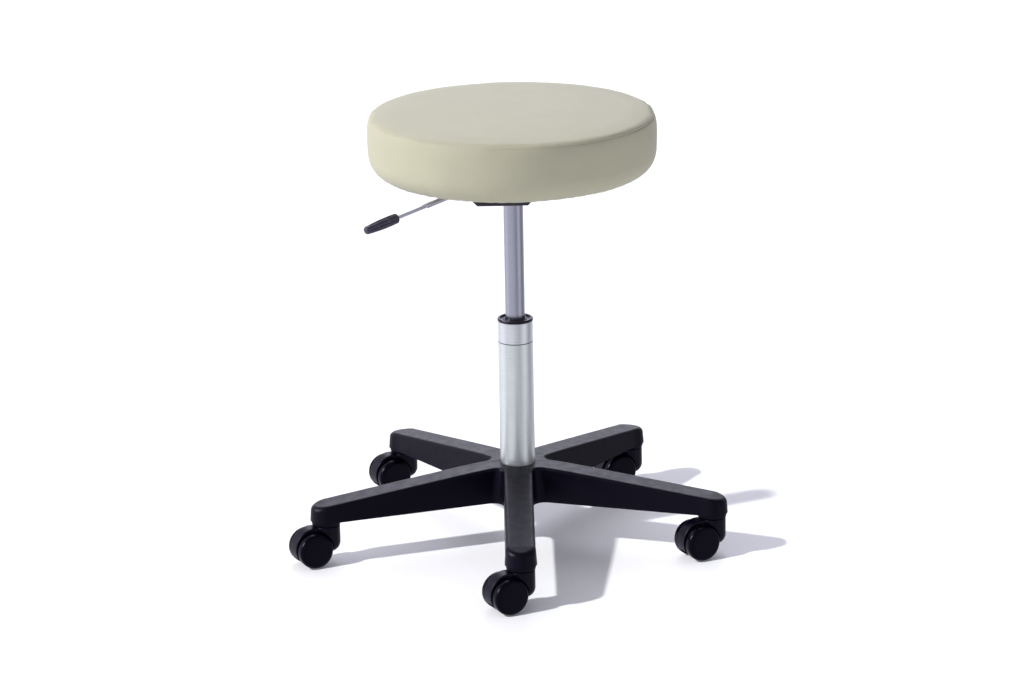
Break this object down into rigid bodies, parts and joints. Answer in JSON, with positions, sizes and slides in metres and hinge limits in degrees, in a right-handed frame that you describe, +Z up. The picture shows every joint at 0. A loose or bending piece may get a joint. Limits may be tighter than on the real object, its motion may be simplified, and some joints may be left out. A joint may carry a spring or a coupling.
{
  "type": "dentist stool",
  "caption": "Round padded stool with a gas-spring column, a release lever under the seat, and a star base on hooded twin-wheel casters.",
  "frame": {"origin": "on the floor, on the column's axis", "axes": "+Z up along the column, -Y along the first leg of the base, +X to the right of it"},
  "size_m": [0.624, 0.5856, 0.636],
  "materials": {
    "vinyl": "satin",
    "foam": "matte",
    "plywood": "matte",
    "black_nylon": "satin",
    "black_plastic": "satin",
    "caster_plastic": "satin",
    "wheel_nylon": "satin",
    "grip_plastic": "satin",
    "natural_plastic": "satin",
    "black_rubber": "matte",
    "satin_tube": "satin",
    "satin_band": "satin",
    "bright_tube": "polished",
    "chrome_rod": "polished",
    "lever_steel": "satin",
    "zinc_steel": "satin",
    "bearing_steel": "polished",
    "dark_steel": "satin",
    "black_steel": "satin",
    "brass_cage": "satin"
  },
  "bodies": {
    "base": {"base_star": "black_nylon", "outer_tube": "satin_tube", "trim_band": "satin_band", "top_collar": "black_plastic", "guide_bush": "natural_plastic", "lower_race": "bearing_steel", "bearing_balls": "bearing_steel", "ball_cage": "brass_cage"},
    "spindle": {"piston_rod": "chrome_rod", "piston": "dark_steel", "upper_race": "bearing_steel", "rest_washer": "zinc_steel", "rod_clip": "zinc_steel", "rubber_buffer": "black_rubber"},
    "seat": {"pressure_tube": "bright_tube", "rod_seal": "black_rubber", "valve_body": "dark_steel", "taper_socket": "black_steel", "mechanism_housing": "black_steel", "mounting_plate": "black_steel", "plate_bolts": "zinc_steel", "t_nuts": "zinc_steel", "lever_bracket": "zinc_steel", "lever_pivot": "zinc_steel", "seat_board": "plywood", "seat_foam": "foam", "seat_cover": "vinyl", "staples": "zinc_steel"},
    "lever": {"release_lever": "lever_steel", "lever_grip": "grip_plastic"},
    "valve_pin": {"valve_pin": "zinc_steel"},
    "caster_1": {"caster_1_body": "caster_plastic", "caster_1_stem": "zinc_steel", "caster_1_axle": "zinc_steel"},
    "wheel_1a": {"caster_1_wheel_a": "wheel_nylon"},
    "wheel_1b": {"caster_1_wheel_b": "wheel_nylon"},
    "caster_2": {"caster_2_body": "caster_plastic", "caster_2_stem": "zinc_steel", "caster_2_axle": "zinc_steel"},
    "wheel_2a": {"caster_2_wheel_a": "wheel_nylon"},
    "wheel_2b": {"caster_2_wheel_b": "wheel_nylon"},
    "caster_3": {"caster_3_body": "caster_plastic", "caster_3_stem": "zinc_steel", "caster_3_axle": "zinc_steel"},
    "wheel_3a": {"caster_3_wheel_a": "wheel_nylon"},
    "wheel_3b": {"caster_3_wheel_b": "wheel_nylon"},
    "caster_4": {"caster_4_body": "caster_plastic", "caster_4_stem": "zinc_steel", "caster_4_axle": "zinc_steel"},
    "wheel_4a": {"caster_4_wheel_a": "wheel_nylon"},
    "wheel_4b": {"caster_4_wheel_b": "wheel_nylon"},
    "caster_5": {"caster_5_body": "caster_plastic", "caster_5_stem": "zinc_steel", "caster_5_axle": "zinc_steel"},
    "wheel_5a": {"caster_5_wheel_a": "wheel_nylon"},
    "wheel_5b": {"caster_5_wheel_b": "wheel_nylon"}
  },
  "joints": [
    {"name": "seat_swivel", "type": "hinge", "parent": "base", "child": "spindle", "pos_m": [0, 0, 0], "axis": [0, 0, 1], "continuous": true},
    {"name": "seat_lift", "type": "slide", "parent": "spindle", "child": "seat", "axis": [0, 0, 1], "range_m": [-0.165, 0]},
    {"name": "lever_pull", "type": "hinge", "parent": "seat", "child": "lever", "pos_m": [-0.02692, -0.0239, 0.54026], "axis": [-0.6639, 0.7478, 0], "range_deg": [0, 6], "stiffness_Nm_per_rad": 20, "springref_deg": -5.73},
    {"name": "valve_press", "type": "slide", "parent": "seat", "child": "valve_pin", "axis": [0, 0, -1], "range_m": [0, 0.0039]},
    {"name": "caster_1_swivel", "type": "hinge", "parent": "base", "child": "caster_1", "pos_m": [0, -0.288, 0.057], "axis": [0, 0, 1], "continuous": true},
    {"name": "wheel_1a_roll", "type": "hinge", "parent": "caster_1", "child": "wheel_1a", "pos_m": [-0.02227, -0.29935, 0.0255], "axis": [0.454, -0.891, 0], "continuous": true},
    {"name": "wheel_1b_roll", "type": "hinge", "parent": "caster_1", "child": "wheel_1b", "pos_m": [-0.02227, -0.29935, 0.0255], "axis": [0.454, -0.891, 0], "continuous": true},
    {"name": "caster_2_swivel", "type": "hinge", "parent": "base", "child": "caster_2", "pos_m": [0.2739, -0.089, 0.057], "axis": [0, 0, 1], "continuous": true},
    {"name": "wheel_2a_roll", "type": "hinge", "parent": "caster_2", "child": "wheel_2a", "pos_m": [0.25163, -0.10035, 0.0255], "axis": [0.454, -0.891, 0], "continuous": true},
    {"name": "wheel_2b_roll", "type": "hinge", "parent": "caster_2", "child": "wheel_2b", "pos_m": [0.25163, -0.10035, 0.0255], "axis": [0.454, -0.891, 0], "continuous": true},
    {"name": "caster_3_swivel", "type": "hinge", "parent": "base", "child": "caster_3", "pos_m": [0.16928, 0.233, 0.057], "axis": [0, 0, 1], "continuous": true},
    {"name": "wheel_3a_roll", "type": "hinge", "parent": "caster_3", "child": "wheel_3a", "pos_m": [0.14701, 0.22165, 0.0255], "axis": [0.454, -0.891, 0], "continuous": true},
    {"name": "wheel_3b_roll", "type": "hinge", "parent": "caster_3", "child": "wheel_3b", "pos_m": [0.14701, 0.22165, 0.0255], "axis": [0.454, -0.891, 0], "continuous": true},
    {"name": "caster_4_swivel", "type": "hinge", "parent": "base", "child": "caster_4", "pos_m": [-0.16928, 0.233, 0.057], "axis": [0, 0, 1], "continuous": true},
    {"name": "wheel_4a_roll", "type": "hinge", "parent": "caster_4", "child": "wheel_4a", "pos_m": [-0.19156, 0.22165, 0.0255], "axis": [0.454, -0.891, 0], "continuous": true},
    {"name": "wheel_4b_roll", "type": "hinge", "parent": "caster_4", "child": "wheel_4b", "pos_m": [-0.19156, 0.22165, 0.0255], "axis": [0.454, -0.891, 0], "continuous": true},
    {"name": "caster_5_swivel", "type": "hinge", "parent": "base", "child": "caster_5", "pos_m": [-0.2739, -0.089, 0.057], "axis": [0, 0, 1], "continuous": true},
    {"name": "wheel_5a_roll", "type": "hinge", "parent": "caster_5", "child": "wheel_5a", "pos_m": [-0.29618, -0.10035, 0.0255], "axis": [0.454, -0.891, 0], "continuous": true},
    {"name": "wheel_5b_roll", "type": "hinge", "parent": "caster_5", "child": "wheel_5b", "pos_m": [-0.29618, -0.10035, 0.0255], "axis": [0.454, -0.891, 0], "continuous": true}
  ],
  "couplings": [
    {"joint": "valve_press", "follows": "lever_pull", "m_per_rad": 0.036}
  ]
}
